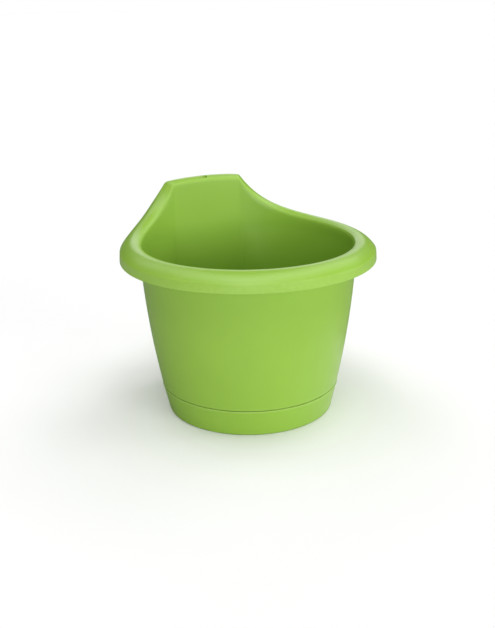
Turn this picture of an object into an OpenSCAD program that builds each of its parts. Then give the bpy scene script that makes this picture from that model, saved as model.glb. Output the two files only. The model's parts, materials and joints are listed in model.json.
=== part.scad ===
// Wall-hung flower planter with a clip-on water saucer, injection moulded in polypropylene.
// The pot is round in front, with a flat vertical back panel that rises above the opening.
// A domed rim is turned down all round it and is cut off flat where it meets the wall.
// Origin: centre of the round part, on the surface that the saucer stands on.
// +X is to the pot's right seen from the front, +Y is towards the wall, +Z is up.

/* [Overall size] */
// Diameter across the rim
rim_d = 240; // [236:1:250]
// Height of the opening's edge at the front
front_h = 163.4; // [156:0.2:176]
// How far the top of the back panel stands above that edge
back_rise = 43.6; // [34:0.2:56]
// Diameter of the bottom of the saucer
base_d = 159.2; // [152:0.2:164]

/* [Opening and back] */
// Diameter of the opening at its edge
opening_d = 201; // [198:0.5:203]
// Distance of the back panel's edge behind the pot's axis
panel_y = 93.5; // [92:0.1:95]
// How much lower the panel's top edge is at its corners than in the middle
panel_arch = 2.1; // [0:0.1:5]
// Angle over which the raised edge falls to about a third of its height
fall_angle = 14.6; // [10:0.2:20]

/* [Rim] */
// Distance of the wall's surface behind the pot's axis
wall_y = 104; // [102:0.2:108]
// Drop from the opening's edge to the rim's outer edge, at the front
rim_drop = 6.6; // [5:0.1:9]
// The same drop beside the raised back
rim_drop_back = 5; // [4:0.1:7]
// Height of the rim's dome over a straight line between its two edges
rim_dome = 4.5; // [2:0.1:5.5]
// Height of the turned-down skirt
skirt_h = 8.3; // [6:0.1:12]
// How far the skirt's lower edge flares out
skirt_flare = 0.5; // [0:0.1:1]
// Diameter of the hole that the tip of the wall hook passes up through
hook_hole_d = 4.6; // [4:0.1:6]

/* [Body] */
// Outer diameter of the body just under the rim
body_top_d = 203; // [200:0.5:205]
// How far the side bulges out beyond a straight taper
body_bulge = 3.4; // [1:0.1:5]
// Thickness of the pot's wall and floor
wall_t = 2.4; // [2:0.1:3]
// Thickness of the rim and its skirt
rim_t = 2.2; // [1.8:0.1:2.6]
// Height of the underside of the pot's floor
floor_z = 9; // [8:0.5:14]
// Number of drainage holes
drain_n = 8; // [4:1:10]
// Diameter of a drainage hole
drain_d = 7; // [5:0.5:9]
// Number of feet that the pot stands on inside the saucer
foot_n = 6; // [3:1:8]

/* [Saucer] */
// Height of the saucer's edge
saucer_h = 26.2; // [24:0.2:30]
// Thickness of the saucer's wall
saucer_t = 2; // [1.6:0.1:2.4]
// How far the saucer's edge stands proud of its side
lip_proud = 0.4; // [0.2:0.1:0.8]
// Clearance between the pot and the inside of the saucer
fit_gap = 0.6; // [0.5:0.1:0.9]

/* [Hidden] */

// Driving values worked out from the sizes above
rim_r = rim_d / 2;
edge_r = opening_d / 2;
rim_w = rim_r - edge_r;
corner_a = acos(panel_y / edge_r);
wall_a = acos(wall_y / rim_r);
under_rim_z = front_h - rim_drop - skirt_h;
edge_round = 0.9;
corner_soft = 0.8;

// Fillets where the pot's floor meets its wall, outside and inside, and above the inner step
floor_fillet_out = 1.5;
floor_fillet_in = 2.5;
step_fillet = 3;

// Heights inside the saucer
saucer_floor_t = 2.4;
seat_gap = 0.3;
ledge_z = saucer_h + 0.5;

// Snap bead on the saucer and the wider groove for it in the pot, as [height, depth] points, where
// a height counts from bead_z and a depth is a share of bead_h
bead_z = 19;
bead_h = 0.3;
bead_points = [[1, 0], [0.3, 1], [-0.3, 1], [-1, 0]];
groove_points = [[-1.5, 0], [-0.5, 1], [0.5, 1], [1.5, 0]];

// Saucer: band under its edge, and the hollow in its bottom, which leaves a ring to stand on
lip_h = 2.2;
saucer_levels = [10, 18];
base_ring_in_r = 60;
base_recess = 0.8;

// Places of the drainage holes and feet
drain_ring_r = 40;
foot_ring_r = 62;
foot_r = 5;

// Steps of the sweep: across the panel, to the end of the wall face, past the raised sides, and
// round the front
side_a = 60;
panel_steps = 6;
face_steps = 4;
side_steps = 10;
front_steps = 20;
dome_steps = 10;
under_steps = 4;

function span(from, to, n) = [for (i = [1:n]) from + (to - from) * i / n];

// Angles of the sections, counted from the middle of the back
half_turn = concat(
    [0],
    span(0, corner_a, panel_steps),
    span(corner_a, wall_a, face_steps),
    span(wall_a, side_a, side_steps),
    span(side_a, 180, front_steps));
full_turn = concat(half_turn, [for (i = [len(half_turn) - 2:-1:1]) 360 - half_turn[i]]);

function from_back(a) = a > 180 ? 360 - a : a;

// The lower of two values, rounded over where they cross
function soft_min(p, q, r) = (p + q - sqrt(pow(p - q, 2) + 4 * r * r)) / 2;

// Plan outline: a circle of radius r, a flat back at y = back, and straight sides that run from
// the back's corners to touch the circle. The value is the distance from the axis at angle a.
function corner_r(r, back) = max(r, back / cos(corner_a));
function touch_a(r, back) = corner_a + acos(r / corner_r(r, back));
function plan(a, r, back) =
    a < corner_a ? back / cos(a)
    : a < touch_a(r, back) ? r / cos(touch_a(r, back) - a)
    : r;

// Height of the opening's edge, and of the rim's outer edge, at angle a
function panel_top(a) =
    front_h + back_rise - panel_arch * pow(tan(min(a, 2 * corner_a)) / tan(corner_a), 2);
function fallen(a, rise) = rise * exp((corner_a - a) / fall_angle);
function edge_z(a) =
    soft_min(panel_top(a), front_h + fallen(a, back_rise - panel_arch), corner_soft);
function outer_z(a) =
    soft_min(edge_z(a) - rim_drop_back,
             front_h - rim_drop + fallen(a, back_rise + rim_drop - panel_arch), corner_soft);

// The rim's dome: height over the opening's edge, e from that edge, and the slope there
function dome(a, e) =
    (outer_z(a) - edge_z(a)) * e / rim_w + 4 * rim_dome * e / rim_w * (1 - e / rim_w);
function dome_slope(a, e) =
    ((outer_z(a) - edge_z(a)) + 4 * rim_dome * (1 - 2 * e / rim_w)) / rim_w;
function dome_under(a, e) = dome(a, e) - rim_t * sqrt(1 + pow(dome_slope(a, e), 2));

// Width of the rim at angle a: the full width, or less where the wall cuts it off
function rim_end(a) =
    a < wall_a ? wall_y / cos(a) - plan(a, edge_r, panel_y) : rim_w;

// Outer radius of the body at height z
function body_r(z) =
    let (t = (under_rim_z - z) / under_rim_z)
    body_top_d / 2 + (base_d - body_top_d) / 2 * t + 4 * body_bulge * t * (1 - t);

// The flat back of the body, and of each surface that lies d inside it
back_y = panel_y - edge_round + wall_t;

// Middle of the hook hole: in the front of the dome, close behind the middle of the panel
hook_y = back_y + hook_hole_d / 2 + 0.1;

// A point of a section at angle a: d inside the body's outer surface at height z
function side_pt(a, z, d) = [plan(a, body_r(z) - d, back_y - d), z];
// A point of a section at angle a: e outside the opening's edge, dz above it
function edge_pt(a, e, dz) = [plan(a, edge_r, panel_y) + e, edge_z(a) + dz];

lower_d = saucer_t + fit_gap;
body_levels = span(ledge_z + 0.5, under_rim_z, 7);

function pot_section(a) =
    let (
        end = rim_end(a),
        skirt_z = outer_z(a) - skirt_h,
        wall_out = plan(a, body_r(under_rim_z), back_y),
        e_wall = wall_out - plan(a, edge_r, panel_y),
        e_in = end - rim_t,
        in_r = edge_r - edge_round)
    concat(
        // Lower part, which goes into the saucer, with a groove for its bead
        [side_pt(a, floor_z, lower_d + floor_fillet_out)],
        [side_pt(a, floor_z + floor_fillet_out, lower_d)],
        [for (g = groove_points) side_pt(a, bead_z + g[0], lower_d + g[1] * bead_h)],
        // Ledge over the saucer's edge, and the body's outside
        [side_pt(a, ledge_z, lower_d)],
        [side_pt(a, ledge_z, edge_round / 2)],
        [side_pt(a, ledge_z + 0.5, 0)],
        [for (z = body_levels) side_pt(a, z, 0)],
        // Underside of the rim and inside of the skirt
        [for (i = [0:under_steps])
            let (e = e_wall + (e_in - e_wall) * i / under_steps)
            edge_pt(a, e, dome_under(a, e))],
        [[plan(a, edge_r, panel_y) + e_in + skirt_flare, skirt_z]],
        // Outside of the skirt and top of the dome
        [[plan(a, edge_r, panel_y) + end + skirt_flare * (a < wall_a ? 0 : 1), skirt_z]],
        [for (i = [dome_steps:-1:0]) let (e = end * i / dome_steps) edge_pt(a, e, dome(a, e))],
        // Rounded edge of the opening and the inside, down to the floor
        [[plan(a, edge_r - 0.6 * edge_round, panel_y - 0.6 * edge_round),
            edge_z(a) - 0.5 * edge_round]],
        [[plan(a, in_r, panel_y - edge_round), edge_z(a) - 2 * edge_round]],
        [for (i = [len(body_levels) - 1:-2:0]) side_pt(a, body_levels[i], wall_t)],
        [side_pt(a, ledge_z + step_fillet, wall_t)],
        [side_pt(a, ledge_z, lower_d + wall_t)],
        [side_pt(a, floor_z + wall_t + floor_fillet_in, lower_d + wall_t)],
        [side_pt(a, floor_z + wall_t, lower_d + wall_t + floor_fillet_in)]);

function saucer_section(a) =
    concat(
        // Rounded bottom edge, side, and proud lip
        [side_pt(a, 0, 2.6)],
        [side_pt(a, 0.6, 0.9)],
        [side_pt(a, 2.4, 0)],
        [for (z = saucer_levels) side_pt(a, z, 0)],
        [side_pt(a, saucer_h - lip_h, 0)],
        [side_pt(a, saucer_h - lip_h + 0.4, -lip_proud)],
        [side_pt(a, saucer_h - 0.4, -lip_proud)],
        [side_pt(a, saucer_h, 0.1)],
        // Inside, with the bead that snaps into the pot's groove
        [side_pt(a, saucer_h, saucer_t - 0.4)],
        [side_pt(a, saucer_h - 0.5, saucer_t)],
        [for (g = bead_points) side_pt(a, bead_z + g[0], saucer_t + g[1] * bead_h)],
        [side_pt(a, 5, saucer_t)],
        [side_pt(a, saucer_floor_t, saucer_t + 1.6)]);

// Closed solid through one section per angle, with flat caps at the sections' two ends. The caps
// start at the front, because three of their points in line would make a triangle with no area.
module sweep(sections) {
    n = len(sections);
    m = len(sections[0]);
    points = [for (i = [0:n - 1]) for (p = sections[i])
        [p[0] * sin(full_turn[i]), p[0] * cos(full_turn[i]), p[1]]];
    sides = [for (i = [0:n - 1]) for (j = [0:m - 2])
        let (k = (i + 1) % n)
        each [[i * m + j, k * m + j, i * m + j + 1], [k * m + j, k * m + j + 1, i * m + j + 1]]];
    front = len(half_turn) - 1;
    first_cap = [for (i = [n:-1:1]) (front + i) % n * m];
    last_cap = [for (i = [0:n - 1]) (front + i) % n * m + m - 1];
    polyhedron(points = points, faces = concat(sides, [first_cap], [last_cap]), convexity = 6);
}

module ring_of(n, r) {
    for (i = [0:n - 1])
        rotate([0, 0, 360 * (i + 0.5) / n])
            translate([r, 0, 0])
                children();
}

module pot() {
    color([0.60, 0.77, 0.34])
    difference() {
        union() {
            sweep([for (a = full_turn) pot_section(from_back(a))]);
            ring_of(foot_n, foot_ring_r)
                translate([0, 0, saucer_floor_t + seat_gap])
                    cylinder(h = floor_z - saucer_floor_t - seat_gap + 1, r = foot_r, $fn = 48);
        }
        ring_of(drain_n, drain_ring_r)
            translate([0, 0, floor_z - 1])
                cylinder(h = wall_t + 2, d = drain_d, $fn = 48);
        translate([0, hook_y, front_h + back_rise - 8])
            cylinder(h = 16, d = hook_hole_d, $fn = 48);
    }
}

module saucer() {
    color([0.60, 0.77, 0.34])
    difference() {
        sweep([for (a = full_turn) saucer_section(from_back(a))]);
        translate([0, 0, -1])
            cylinder(h = base_recess + 1, r = base_ring_in_r, $fn = 96);
    }
}

pot();
saucer();
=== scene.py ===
"""Looks of the wall-hung planter: two moulded pieces, pot and saucer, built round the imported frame."""
import json
import math

import bmesh
import bpy
from mathutils import Matrix, Vector


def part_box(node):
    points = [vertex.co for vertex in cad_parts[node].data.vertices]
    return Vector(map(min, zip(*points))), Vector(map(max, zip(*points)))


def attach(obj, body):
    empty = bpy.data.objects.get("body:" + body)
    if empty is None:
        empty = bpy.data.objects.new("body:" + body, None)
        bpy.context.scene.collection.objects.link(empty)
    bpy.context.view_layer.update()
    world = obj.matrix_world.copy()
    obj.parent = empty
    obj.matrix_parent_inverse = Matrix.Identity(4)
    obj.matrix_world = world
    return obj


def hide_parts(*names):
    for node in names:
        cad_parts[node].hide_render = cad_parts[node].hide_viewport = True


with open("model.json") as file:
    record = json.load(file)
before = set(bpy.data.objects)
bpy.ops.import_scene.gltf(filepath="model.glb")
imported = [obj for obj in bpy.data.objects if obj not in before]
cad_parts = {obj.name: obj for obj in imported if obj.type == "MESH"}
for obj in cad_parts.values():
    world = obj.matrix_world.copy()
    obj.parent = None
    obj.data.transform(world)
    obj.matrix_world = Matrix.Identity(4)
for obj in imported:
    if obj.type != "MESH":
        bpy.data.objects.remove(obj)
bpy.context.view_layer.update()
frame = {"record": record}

MM = 0.001

# ---------------------------------------------------------------- sizes taken from the frame
pot_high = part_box("pot")[1]
saucer_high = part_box("saucer")[1]
MOUNTS = {m["name"]: m for m in frame["record"]["mounts"]}
WALL_Y = MOUNTS["wall_face"]["pos_m"][1]
HOOK_Y = MOUNTS["hook_hole"]["pos_m"][1]
HOOK_R = MOUNTS["hook_hole"]["dims"]["r_mm"] * MM
SKIRT_FLARE = 0.5 * MM
RIM_R = pot_high.x - SKIRT_FLARE
SAUCER_H = saucer_high.z

# ---------------------------------------------------------------- the design's other sizes
# Opening and raised back: heights, distances from the axis, drop of the top edge at its corners,
# and the angle over which the raised edge falls to about a third
FRONT_H = 163.4 * MM
BACK_RISE = 43.6 * MM
EDGE_R = 100.5 * MM
PANEL_Y = 93.5 * MM
PANEL_ARCH = 2.1 * MM
FALL_ANGLE = math.radians(14.6)
# Rim: drop to its outer edge in front and beside the raised back, dome, thickness and skirt
RIM_DROP = 6.6 * MM
RIM_DROP_BACK = 5.0 * MM
RIM_DOME = 4.48 * MM
RIM_T = 2.2 * MM
SKIRT_H = 8.3 * MM
# Body: radii at its top and bottom, bulge between them, and the pot's wall and floor
BODY_TOP_R = 101.5 * MM
BASE_R = 79.6 * MM
BODY_BULGE = 3.4 * MM
WALL_T = 2.4 * MM
FLOOR_Z = 9.0 * MM
# Saucer, its fit in the pot's lower part, and the snap bead
SAUCER_T = 2.0 * MM
SAUCER_FLOOR_T = 2.4 * MM
LIP_PROUD = 0.4 * MM
FIT_GAP = 0.6 * MM
LEDGE_Z = SAUCER_H + 0.5 * MM
BEAD_Z = 19.0 * MM
BEAD_H = 0.3 * MM
# Rounding of the opening's edge
EDGE_ROUND = 0.9 * MM
# Feet, drainage holes, and the hollow in the saucer's bottom
FOOT_R = 5.0 * MM
FOOT_RING_R = 62.0 * MM
FOOT_N = 6
DRAIN_R = 3.5 * MM
DRAIN_RING_R = 40.0 * MM
DRAIN_N = 8
BASE_RING_IN_R = 60.0 * MM
BASE_RECESS = 0.8 * MM

# Values worked out from those sizes
RIM_W = RIM_R - EDGE_R
CORNER_A = math.acos(PANEL_Y / EDGE_R)
WALL_A = math.acos(WALL_Y / RIM_R)
UNDER_RIM_Z = FRONT_H - RIM_DROP - SKIRT_H
BACK_Y = PANEL_Y - EDGE_ROUND + WALL_T
LOWER_D = SAUCER_T + FIT_GAP
# How far the raised back's corners are rounded over, from the front and in plan
CORNER_SOFT = 0.8 * MM
PLAN_SOFT = 0.35 * MM
# Angle past the wall face over which the skirt's flare comes in and the rim keeps its full width
WALL_BLEND_A = 0.1
# How far in from the wall the flat caps of the pot's floor and of the saucer's floor begin
POT_CAP_IN = 14 * MM
SAUCER_CAP_IN = 12 * MM
# Inside of the pot's upper wall: how far it stays in from the opening's edge, and how far under
# that edge it starts
INSIDE_IN = 1.2 * MM
INSIDE_DOWN = 5 * MM
# Half of the slope above the inner step, over the saucer's edge
STEP_HALF = 2 * MM
# Rows of points up the body, under the rim, over the dome, and down the inside in two stretches
BODY_ROWS, UNDER_ROWS, DOME_ROWS, UPPER_ROWS, LOWER_ROWS = 26, 9, 26, 12, 24
# Gap between the pot's feet and the saucer's floor
SEAT_GAP = 0.3 * MM
# Half-length of the drill for the hook hole
HOOK_REACH = 8 * MM


# ---------------------------------------------------------------- shape formulas, all in metres
def soft_min(p, q, r):
    """The lower of two values, rounded over where they cross."""
    return (p + q - math.sqrt((p - q) ** 2 + 4 * r * r)) / 2


def plan(a, r, back):
    """Outline in plan, as a distance at angle a: a circle, a flat back and straight sides between."""
    corner_r = max(r, back / math.cos(CORNER_A))
    touch = CORNER_A + math.acos(r / corner_r)
    side = r / math.cos(touch - a) if a < touch else r
    return soft_min(back / math.cos(a), side, PLAN_SOFT) if a < 2 * CORNER_A else side


def fallen(a, rise):
    """What is left at angle a of a rise that dies away from the raised back's corner."""
    return rise * math.exp((CORNER_A - a) / FALL_ANGLE)


def edge_z(a):
    """Height of the opening's edge at angle a from the middle of the back."""
    across = math.tan(min(a, 2 * CORNER_A)) / math.tan(CORNER_A)
    top = FRONT_H + BACK_RISE - PANEL_ARCH * across ** 2
    return soft_min(top, FRONT_H + fallen(a, BACK_RISE - PANEL_ARCH), CORNER_SOFT)


def outer_z(a):
    """Height of the rim's outer edge at angle a."""
    low = FRONT_H - RIM_DROP + fallen(a, BACK_RISE + RIM_DROP - PANEL_ARCH)
    return soft_min(edge_z(a) - RIM_DROP_BACK, low, CORNER_SOFT)


def dome(a, e):
    """Height of the rim's top over the opening's edge, at angle a and e outside that edge."""
    s = e / RIM_W
    return (outer_z(a) - edge_z(a)) * s + 4 * RIM_DOME * s * (1 - s)


def dome_slope(a, e):
    """Slope of the rim's top there, outwards."""
    return ((outer_z(a) - edge_z(a)) + 4 * RIM_DOME * (1 - 2 * e / RIM_W)) / RIM_W


def dome_under(a, e):
    """Height of the rim's underside there, over the opening's edge."""
    return dome(a, e) - RIM_T * math.sqrt(1 + dome_slope(a, e) ** 2)


def rim_end(a):
    """Width of the rim at angle a, less where the wall cuts it off."""
    if a >= WALL_A + WALL_BLEND_A:
        return RIM_W
    return min(RIM_W, WALL_Y / math.cos(a) - plan(a, EDGE_R, PANEL_Y))


def body_r(z):
    """Outer radius of the body at height z."""
    t = (UNDER_RIM_Z - z) / UNDER_RIM_Z
    return BODY_TOP_R + (BASE_R - BODY_TOP_R) * t + 4 * BODY_BULGE * t * (1 - t)


def side_pt(a, z, d):
    """A section's point d inside the body's outer surface."""
    return (plan(a, body_r(z) - d, BACK_Y - d), z)


def edge_pt(a, e, dz):
    """A section's point e outside the opening's edge and dz above it."""
    return (plan(a, EDGE_R, PANEL_Y) + e, edge_z(a) + dz)


# ---------------------------------------------------------------- sections
def rounded(chain):
    """Points of a chain whose corners carry a radius, a number of steps and a value for the paler edge
    colour, partly scuffing and partly painted highlight.
    """
    out = []
    for i, (p, r, n, wear_and_highlight) in enumerate(chain):
        p = Vector(p)
        if r == 0 or i in (0, len(chain) - 1):
            out.append((p.x, p.y, wear_and_highlight))
            continue
        back, ahead = Vector(chain[i - 1][0]) - p, Vector(chain[i + 1][0]) - p
        turn = math.pi - back.angle(ahead)
        cut = min(r * math.tan(turn / 2), 0.45 * back.length, 0.45 * ahead.length)
        start, end = p + back.normalized() * cut, p + ahead.normalized() * cut
        for k in range(n + 1):
            t = k / n
            q = start * (1 - t) ** 2 + p * 2 * t * (1 - t) + end * t * t
            out.append((q.x, q.y, wear_and_highlight))
    return out


def levels(low, high, n):
    """n + 1 evenly spread values from low to high."""
    return [low + (high - low) * i / n for i in range(n + 1)]


def corner(p, r, steps=4, wear_and_highlight=0.0):
    """A point of a chain: its place, its radius in millimetres, its steps and its paler edge colour,
    partly scuffing and partly painted highlight.
    """
    return (p, r * MM, steps, wear_and_highlight)


def pot_section(a):
    """The pot's section at angle a, from its bottom up the outside, over the rim and down inside."""
    crest = plan(a, EDGE_R, PANEL_Y)
    end = rim_end(a)
    skirt_z = outer_z(a) - SKIRT_H
    flare = SKIRT_FLARE * min(1, max(0, (a - WALL_A) / WALL_BLEND_A))
    e_wall = plan(a, body_r(UNDER_RIM_Z), BACK_Y) - crest
    e_in = end - RIM_T
    inner_d = LOWER_D + WALL_T
    # Bottom, lower part with the groove for the saucer's bead, and the ledge over its edge
    chain = [corner(side_pt(a, FLOOR_Z, LOWER_D + POT_CAP_IN), 0)]
    chain.append(corner(side_pt(a, FLOOR_Z, LOWER_D), 1.5))
    for dz, d in ((-1.5, 0), (-0.5, BEAD_H), (0.5, BEAD_H), (1.5, 0)):
        chain.append(corner(side_pt(a, BEAD_Z + dz * MM, LOWER_D + d), 0.3, 2))
    chain.append(corner(side_pt(a, LEDGE_Z, LOWER_D), 0.5, 3))
    chain.append(corner(side_pt(a, LEDGE_Z, 0), 0.6, 5, 0.55))
    # Outside of the body and underside of the rim
    for z in levels(LEDGE_Z + 3 * MM, UNDER_RIM_Z, BODY_ROWS):
        chain.append(corner(side_pt(a, z, 0), 0))
    chain.append(corner(edge_pt(a, e_wall, dome_under(a, e_wall)), 1.5, 4))
    for e in levels(e_wall, e_in, UNDER_ROWS)[1:-1]:
        chain.append(corner(edge_pt(a, e, dome_under(a, e)), 0))
    # Skirt and dome
    chain.append(corner(edge_pt(a, e_in, dome_under(a, e_in)), 0.8, 4))
    chain.append(corner((crest + e_in + flare, skirt_z), 0.5, 4, 0.5))
    chain.append(corner((crest + end + flare, skirt_z), 0.6, 5, 0.8))
    chain.append(corner(edge_pt(a, end, dome(a, end)), 1.1, 7, 0.5))
    for i in range(DOME_ROWS - 1, 0, -1):
        e = end * (i - 0.5) / DOME_ROWS
        chain.append(corner(edge_pt(a, e, dome(a, e)), 0, 0, 0.5 if i == 1 else 0.0))
    # Edge of the opening, and the inside down to the floor
    # The opening's edge takes most of the paler edge colour: a painted highlight along it, with some
    # scuffing
    chain.append(corner(edge_pt(a, 0, 0), 0.5, 4, 0.9))
    top_in = (plan(a, EDGE_R - EDGE_ROUND, PANEL_Y - EDGE_ROUND), edge_z(a) - 2 * EDGE_ROUND)
    chain.append(corner(top_in, 1.2, 4, 0.3))
    for z in levels(UNDER_RIM_Z, edge_z(a) - INSIDE_DOWN, UPPER_ROWS)[::-1]:
        r = min(body_r(z) - WALL_T, EDGE_R - INSIDE_IN)
        chain.append(corner((plan(a, r, BACK_Y - WALL_T), z), 0))
    for z in levels(LEDGE_Z + 2 * STEP_HALF, UNDER_RIM_Z, LOWER_ROWS)[-2::-1]:
        chain.append(corner(side_pt(a, z, WALL_T), 0))
    chain.append(corner(side_pt(a, LEDGE_Z + STEP_HALF, WALL_T), 1, 3))
    chain.append(corner(side_pt(a, LEDGE_Z - STEP_HALF, inner_d), 1, 3))
    chain.append(corner(side_pt(a, BEAD_Z, inner_d), 0))
    chain.append(corner(side_pt(a, FLOOR_Z + WALL_T, inner_d), 3, 6))
    chain.append(corner(side_pt(a, FLOOR_Z + WALL_T, inner_d + POT_CAP_IN), 0))
    return rounded(chain)


def saucer_section(a):
    """The saucer's section at angle a, from its bottom up the outside and down inside."""
    # Bottom, outside and proud lip
    chain = [corner(side_pt(a, 0, SAUCER_CAP_IN), 0)]
    chain.append(corner(side_pt(a, 0, 0), 2.4, 7, 0.35))
    for z in levels(4 * MM, SAUCER_H - 4 * MM, 8):
        chain.append(corner(side_pt(a, z, 0), 0))
    chain.append(corner(side_pt(a, SAUCER_H - 2.2 * MM, 0), 0.3, 3))
    # The proud lip's edges take the most paler edge colour: a painted highlight along them, with some
    # scuffing
    chain.append(corner(side_pt(a, SAUCER_H - 1.9 * MM, -LIP_PROUD), 0.3, 3, 0.7))
    chain.append(corner(side_pt(a, SAUCER_H, -LIP_PROUD), 0.7, 6, 1.0))
    # Inside, with the bead that snaps into the pot's groove
    chain.append(corner(side_pt(a, SAUCER_H, SAUCER_T), 0.6, 5, 0.8))
    for dz, d in ((1.0, 0), (0.3, BEAD_H), (-0.3, BEAD_H), (-1.0, 0)):
        chain.append(corner(side_pt(a, BEAD_Z + dz * MM, SAUCER_T + d), 0.2, 2))
    for z in levels(6 * MM, BEAD_Z - 3 * MM, 4)[::-1]:
        chain.append(corner(side_pt(a, z, SAUCER_T), 0))
    chain.append(corner(side_pt(a, SAUCER_FLOOR_T, SAUCER_T), 2, 6))
    chain.append(corner(side_pt(a, SAUCER_FLOOR_T, SAUCER_T + SAUCER_CAP_IN), 0))
    return rounded(chain)


def turn_angles():
    """Angles from the middle of the back, close together where the plan and the rim turn quickly."""
    round_corner, round_wall, side_end = 0.08, 0.03, math.radians(75)
    spans = ((0, CORNER_A - round_corner, 12),
             (CORNER_A - round_corner, CORNER_A + round_corner, 16),
             (CORNER_A + round_corner, WALL_A - round_wall, 4),
             (WALL_A - round_wall, WALL_A + round_wall, 6),
             (WALL_A + round_wall, side_end, 34),
             (side_end, math.pi, 60))
    half = [0.0]
    for start, end, n in spans:
        half += [start + (end - start) * i / n for i in range(1, n + 1)]
    return half + [-a for a in half[-2:0:-1]]


def sweep(name, section):
    """A closed mesh through one section for each angle, with flat caps at the sections' two ends."""
    angles = turn_angles()
    rows = [section(abs(a)) for a in angles]
    n, m = len(rows), len(rows[0])
    verts, wear_and_highlight = [], []
    for a, row in zip(angles, rows):
        for r, z, w in row:
            verts.append((r * math.sin(a), r * math.cos(a), z))
            wear_and_highlight.append(w)
    faces = []
    for i in range(n):
        k = (i + 1) % n
        for j in range(m - 1):
            faces.append((i * m + j, i * m + j + 1, k * m + j + 1, k * m + j))
    faces.append([i * m for i in range(n)])
    faces.append([i * m + m - 1 for i in reversed(range(n))])
    mesh = bpy.data.meshes.new(name)
    mesh.from_pydata(verts, [], faces)
    mesh.attributes.new("wear_and_highlight", "FLOAT", "POINT").data.foreach_set("value", wear_and_highlight)
    return link(name, mesh)


def link(name, mesh):
    """Puts a mesh into the scene, with its faces' normals pointing outwards."""
    obj = bpy.data.objects.new(name, mesh)
    bpy.context.scene.collection.objects.link(obj)
    bm = bmesh.new()
    bm.from_mesh(mesh)
    bmesh.ops.recalc_face_normals(bm, faces=bm.faces)
    bm.to_mesh(mesh)
    bm.free()
    return obj


def turned(name, outline, x, y, steps=48):
    """A solid turned about a vertical axis at (x, y) from (radius, height) points, bottom first."""
    verts = [(x + r * math.cos(2 * math.pi * k / steps), y + r * math.sin(2 * math.pi * k / steps), z)
             for r, z in outline for k in range(steps)]
    faces = []
    for j in range(len(outline) - 1):
        for k in range(steps):
            n = (k + 1) % steps
            faces.append((j * steps + k, j * steps + n, (j + 1) * steps + n, (j + 1) * steps + k))
    faces.append(list(reversed(range(steps))))
    faces.append([(len(outline) - 1) * steps + k for k in range(steps)])
    mesh = bpy.data.meshes.new(name)
    mesh.from_pydata(verts, [], faces)
    return link(name, mesh)


def combine(obj, others, operation):
    """Applies one boolean for all the other solids and removes them."""
    bpy.context.view_layer.objects.active = obj
    for other in others:
        step = obj.modifiers.new("cut", "BOOLEAN")
        step.operation = operation
        step.solver = "EXACT"
        step.object = other
        bpy.ops.object.modifier_apply(modifier=step.name)
    for other in others:
        bpy.data.objects.remove(other)


def ring_places(n, r):
    """Places of n features spread evenly round a ring of radius r, half a step round from +X."""
    turns = [2 * math.pi * (i + 0.5) / n for i in range(n)]
    return [(r * math.cos(t), r * math.sin(t)) for t in turns]


def joined(name, objs):
    """Several objects as one, under a new name."""
    bpy.ops.object.select_all(action="DESELECT")
    for o in objs:
        o.select_set(True)
    bpy.context.view_layer.objects.active = objs[0]
    bpy.ops.object.join()
    objs[0].name = name
    return objs[0]


def finish_mesh(obj, material):
    """Smooth shading that breaks at sharp edges, and the piece's one material."""
    for polygon in obj.data.polygons:
        polygon.use_smooth = True
    obj.data.set_sharp_from_angle(angle=math.radians(40))
    obj.data.materials.clear()
    obj.data.materials.append(material)


# ---------------------------------------------------------------- pieces
def make_pot():
    pot = sweep("pot_moulding", pot_section)
    foot_low = SAUCER_FLOOR_T + SEAT_GAP
    foot = [(FOOT_R - 0.8 * MM, foot_low), (FOOT_R - 0.25 * MM, foot_low + 0.2 * MM),
            (FOOT_R, foot_low + 0.8 * MM), (FOOT_R, FLOOR_Z - 0.6 * MM),
            (FOOT_R + 0.6 * MM, FLOOR_Z), (FOOT_R + 0.6 * MM, FLOOR_Z + 1 * MM)]
    feet = [turned("foot", foot, x, y) for x, y in ring_places(FOOT_N, FOOT_RING_R)]
    combine(pot, [joined("feet", feet)], "UNION")
    low, high, chamfer = FLOOR_Z, FLOOR_Z + WALL_T, 0.5 * MM
    drain = [(DRAIN_R + 2 * chamfer, low - chamfer), (DRAIN_R, low + chamfer),
             (DRAIN_R, high - chamfer), (DRAIN_R + 2 * chamfer, high + chamfer)]
    drains = [turned("drain", drain, x, y) for x, y in ring_places(DRAIN_N, DRAIN_RING_R)]
    top = FRONT_H + BACK_RISE
    hook = [(HOOK_R, top - HOOK_REACH), (HOOK_R, top + HOOK_REACH)]
    combine(pot, [joined("drains", drains), turned("hook", hook, 0, HOOK_Y)], "DIFFERENCE")
    return pot


def make_saucer():
    saucer = sweep("saucer_moulding", saucer_section)
    recess = [(BASE_RING_IN_R + 0.5 * MM, -0.5 * MM),
              (BASE_RING_IN_R - 0.3 * MM, BASE_RECESS - 0.3 * MM),
              (BASE_RING_IN_R - 0.8 * MM, BASE_RECESS)]
    combine(saucer, [turned("recess", recess, 0, 0, 128)], "DIFFERENCE")
    return saucer


# ---------------------------------------------------------------- materials
def nodes_of(material):
    """A material's node tree, emptied."""
    material.use_nodes = True
    tree = material.node_tree
    tree.nodes.clear()
    return tree


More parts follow.
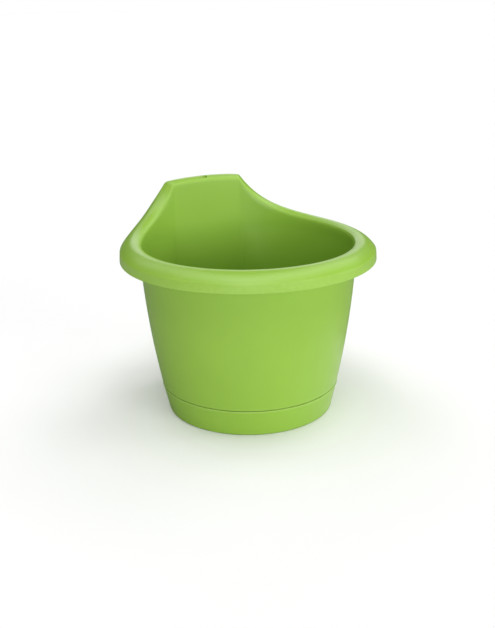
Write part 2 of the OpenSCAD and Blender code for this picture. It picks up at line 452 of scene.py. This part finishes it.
def plastic(name, colour, light, dark):
    """Moulded polypropylene: mottled colour, uneven gloss, a fine grain, and paler edges that are partly
    scuffed and partly a painted highlight.
    """
    material = bpy.data.materials.new(name)
    tree = nodes_of(material)
    new, link_up = tree.nodes.new, tree.links.new
    out, shader = new("ShaderNodeOutputMaterial"), new("ShaderNodeBsdfPrincipled")
    link_up(shader.outputs["BSDF"], out.inputs["Surface"])
    where = new("ShaderNodeTexCoord")

    def noise(scale, detail, rough=0.5):
        node = new("ShaderNodeTexNoise")
        node.inputs["Scale"].default_value = scale
        node.inputs["Detail"].default_value = detail
        node.inputs["Roughness"].default_value = rough
        link_up(where.outputs["Object"], node.inputs["Vector"])
        return node.outputs["Fac"]

    def remap(value, low, high, to_low, to_high):
        node = new("ShaderNodeMapRange")
        ends = {"From Min": low, "From Max": high, "To Min": to_low, "To Max": to_high}
        for key, number in ends.items():
            node.inputs[key].default_value = number
        link_up(value, node.inputs["Value"])
        return node.outputs["Result"]

    def mix(factor, first, second):
        node = new("ShaderNodeMix")
        node.data_type = "RGBA"
        link_up(factor, node.inputs["Factor"])
        for key, value in (("A", first), ("B", second)):
            socket = [s for s in node.inputs if s.name == key and s.type == "RGBA"][0]
            if isinstance(value, tuple):
                socket.default_value = (*value, 1)
            else:
                link_up(value, socket)
        return [s for s in node.outputs if s.type == "RGBA"][0]

    def math_node(kind, first, second):
        node = new("ShaderNodeMath")
        node.operation = kind
        for socket, value in zip(node.inputs, (first, second)):
            if isinstance(value, (int, float)):
                socket.default_value = value
            else:
                link_up(value, socket)
        return node.outputs[0]

    cloudy = remap(noise(14, 3), 0.35, 0.65, 0, 1)
    base = mix(cloudy, colour, dark)
    # Paler edge colour: partly scuffing, partly a painted highlight, bright thin lines lightened into
    # the opening's edge, the rim's edges and the saucer's lip
    wear_and_highlight_map = new("ShaderNodeAttribute")
    wear_and_highlight_map.attribute_name = "wear_and_highlight"
    scuffs = remap(noise(260, 4, 0.65), 0.30, 0.62, 0.35, 1)
    edge = math_node("MULTIPLY", wear_and_highlight_map.outputs["Fac"], scuffs)
    edge = math_node("MULTIPLY", edge, 0.4)
    link_up(mix(edge, base, light), shader.inputs["Base Color"])

    gloss = remap(noise(55, 4, 0.6), 0.3, 0.7, 0.30, 0.37)
    link_up(math_node("ADD", gloss, math_node("MULTIPLY", edge, 0.12)), shader.inputs["Roughness"])
    shader.inputs["IOR"].default_value = 1.49
    shader.inputs["Specular IOR Level"].default_value = 0.5

    grain = new("ShaderNodeBump")
    grain.inputs["Strength"].default_value = 0.12
    grain.inputs["Distance"].default_value = 0.0004
    link_up(noise(1100, 2), grain.inputs["Height"])
    waves = new("ShaderNodeBump")
    waves.inputs["Strength"].default_value = 0.08
    waves.inputs["Distance"].default_value = 0.003
    link_up(noise(45, 1), waves.inputs["Height"])
    link_up(grain.outputs["Normal"], waves.inputs["Normal"])
    link_up(waves.outputs["Normal"], shader.inputs["Normal"])
    return material


# ---------------------------------------------------------------- studio
# Camera's side of the pot, as an angle round from the front
CAMERA_TURN = math.radians(-25.77)

# Reflectance of the floor to the camera and to the lamps' light, and the darker one that the
# plastic mirrors, which keeps the object's outline clear as dark cards round a set would
FLOOR_WHITE = 0.92
FLOOR_MIRRORED = 0.25
FLOOR_HALF = 30

# Gap in that darker floor, at the pot's right and close to it, where the plastic mirrors white:
# turn from the camera's side, distance from the pot's axis, and reach
GAP_TURN = math.radians(85)
GAP_R = 0.14
GAP_WIDTH = 0.15


def make_camera():
    """View from in front of the pot and to its left, looking down on it."""
    distance, height = 844.3 * MM, 378.0 * MM
    # Angles off the pot's axis: aside in plan, down from level, and tilt of the picture
    aside, down, tilt = -0.0017, 0.3283, -0.0169
    side = Vector((math.sin(CAMERA_TURN), -math.cos(CAMERA_TURN), 0))
    place = side * distance + Vector((0, 0, height))
    heading = aside - CAMERA_TURN
    level = Vector((math.sin(heading), math.cos(heading), 0))
    ahead = level * math.cos(down) - Vector((0, 0, 1)) * math.sin(down)
    right = level.cross(Vector((0, 0, 1)))
    up = right.cross(ahead)
    right, up = (right * math.cos(tilt) + up * math.sin(tilt),
                 up * math.cos(tilt) - right * math.sin(tilt))
    data = bpy.data.cameras.new("camera")
    data.sensor_width, data.sensor_fit = 36, "AUTO"
    data.lens = 52.95
    data.clip_start, data.clip_end = 0.05, 50
    camera = bpy.data.objects.new("camera", data)
    facing = Matrix((right, up, -ahead)).transposed().to_4x4()
    camera.matrix_world = Matrix.Translation(place) @ facing
    bpy.context.scene.collection.objects.link(camera)
    bpy.context.scene.camera = camera


# Soft lamps: degrees round from the camera's side towards the pot's right, degrees up, and
# strength, where 1 lights a white card that faces the lamp to white
LAMPS = {
    "front": (0, 6, 0.58), "front_right": (45, 6, 0.46), "right": (90, 6, 0.30),
    "back_low": (180, 22, 0.12), "back_right": (135, 45, 0.17), "back_left": (225, 45, 0.12),
    "top_front": (0, 68, 0.30), "top_right": (90, 68, 0.22), "top_left": (270, 68, 0.20),
}
# How wide each lamp looks from the pot
LAMP_ACROSS = math.radians(34)


def soft_lamp(name, turn, up, strength):
    """A distant lamp, wide enough for soft shadows and highlights."""
    data = bpy.data.lights.new(name, "SUN")
    data.angle = LAMP_ACROSS
    data.energy = math.pi * strength
    lamp = bpy.data.objects.new(name, data)
    heading, up = CAMERA_TURN + math.radians(turn), math.radians(up)
    level = Vector((math.sin(heading), -math.cos(heading), 0))
    towards = level * math.cos(up) + Vector((0, 0, math.sin(up)))
    lamp.rotation_euler = towards.to_track_quat("Z", "Y").to_euler()
    bpy.context.scene.collection.objects.link(lamp)


def make_world():
    """A white backdrop that adds almost no light of its own, so that the lamps shape the object."""
    world = bpy.data.worlds.new("studio")
    world.use_nodes = True
    tree = world.node_tree
    tree.nodes.clear()
    out, mix = tree.nodes.new("ShaderNodeOutputWorld"), tree.nodes.new("ShaderNodeMixShader")
    rays = tree.nodes.new("ShaderNodeLightPath")
    tree.links.new(rays.outputs["Is Camera Ray"], mix.inputs["Fac"])
    for slot, strength in ((1, 0.03), (2, 1.0)):
        sky = tree.nodes.new("ShaderNodeBackground")
        sky.inputs["Color"].default_value = (1, 1, 1, 1)
        sky.inputs["Strength"].default_value = strength
        tree.links.new(sky.outputs["Background"], mix.inputs[slot])
    tree.links.new(mix.outputs["Shader"], out.inputs["Surface"])
    bpy.context.scene.world = world


def floor_material():
    """White to the camera and to the light, and darker in the plastic's mirror image of it."""
    material = bpy.data.materials.new("studio_floor")
    tree = nodes_of(material)
    new, link_up = tree.nodes.new, tree.links.new
    out, shader = new("ShaderNodeOutputMaterial"), new("ShaderNodeBsdfPrincipled")
    link_up(shader.outputs["BSDF"], out.inputs["Surface"])
    shader.inputs["Roughness"].default_value = 0.8
    shader.inputs["Specular IOR Level"].default_value = 0
    where, apart = new("ShaderNodeTexCoord"), new("ShaderNodeVectorMath")
    apart.operation = "DISTANCE"
    turn = CAMERA_TURN + GAP_TURN
    apart.inputs[1].default_value = (GAP_R * math.sin(turn), -GAP_R * math.cos(turn), 0)
    link_up(where.outputs["Object"], apart.inputs[0])
    gap = new("ShaderNodeMapRange")
    ends = {"From Min": 0.5 * GAP_WIDTH, "From Max": GAP_WIDTH,
            "To Min": FLOOR_WHITE, "To Max": FLOOR_MIRRORED}
    for key, number in ends.items():
        gap.inputs[key].default_value = number
    link_up(apart.outputs["Value"], gap.inputs["Value"])
    rays, shade = new("ShaderNodeLightPath"), new("ShaderNodeMapRange")
    shade.inputs["To Min"].default_value = FLOOR_WHITE
    link_up(gap.outputs["Result"], shade.inputs["To Max"])
    link_up(rays.outputs["Is Glossy Ray"], shade.inputs["Value"])
    link_up(shade.outputs["Result"], shader.inputs["Base Color"])
    return material


def make_floor():
    mesh = bpy.data.meshes.new("studio_floor")
    half = FLOOR_HALF
    corners = [(-half, -half, 0), (half, -half, 0), (half, half, 0), (-half, half, 0)]
    mesh.from_pydata(corners, [], [(0, 1, 2, 3)])
    floor = link("studio_floor", mesh)
    floor.data.materials.append(floor_material())


def make_studio():
    make_world()
    make_floor()
    for name, setting in LAMPS.items():
        soft_lamp(name, *setting)
    bpy.context.scene.view_settings.view_transform = "Standard"


# ---------------------------------------------------------------- the scene
# Body colour of the plastic, its darker mottling, and its paler edges, partly scuffing and partly
# painted highlight
LIME = (0.255, 0.45, 0.048)
LIME_DARK = (0.243, 0.432, 0.045)
LIME_PALE = (0.36, 0.56, 0.12)

make_camera()
make_studio()

pot_plastic = plastic("lime_plastic_pot", LIME, LIME_PALE, LIME_DARK)
saucer_plastic = plastic("lime_plastic_saucer", LIME, LIME_PALE, LIME_DARK)

pot = make_pot()
finish_mesh(pot, pot_plastic)
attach(pot, "pot")
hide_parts("pot")

saucer = make_saucer()
finish_mesh(saucer, saucer_plastic)
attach(saucer, "saucer")
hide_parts("saucer")
